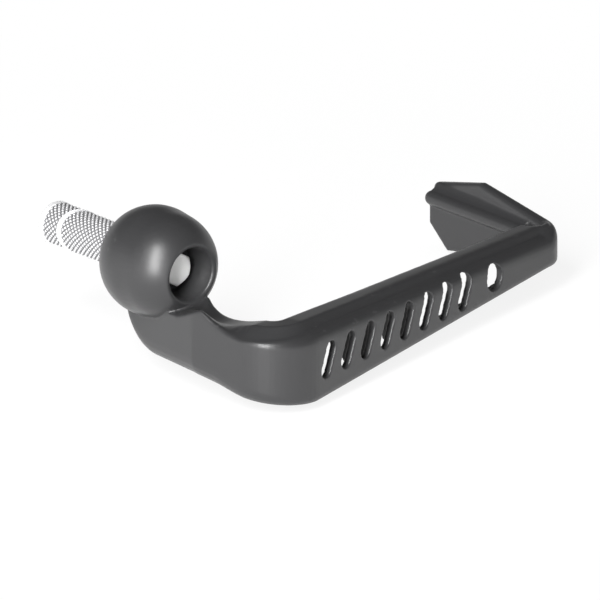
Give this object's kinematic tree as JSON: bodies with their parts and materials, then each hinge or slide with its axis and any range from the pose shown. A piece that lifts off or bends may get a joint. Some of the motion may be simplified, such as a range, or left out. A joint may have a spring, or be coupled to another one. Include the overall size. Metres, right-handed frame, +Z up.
{
  "type": "brake lever guard",
  "caption": "Moulded C-shaped guard that wraps around a brake lever's tip, with a round boss and an expanding clamp for the handlebar's end.",
  "frame": {"origin": "on the bar axis, at the boss's seat face, where the handlebar's end butts", "axes": "+X outboard along the bar axis, +Y forward towards the nose, +Z up"},
  "size_m": [0.1123, 0.1684, 0.054],
  "materials": {
    "moulded_nylon": "satin moulded",
    "turned_aluminium": "knurled",
    "plated_steel": "bright plated"
  },
  "bodies": {
    "root": {"guard": "moulded_nylon", "clamp_sleeve": "turned_aluminium", "clamp_wedge": "turned_aluminium", "clamp_screw": "plated_steel"}
  },
  "joints": []
}
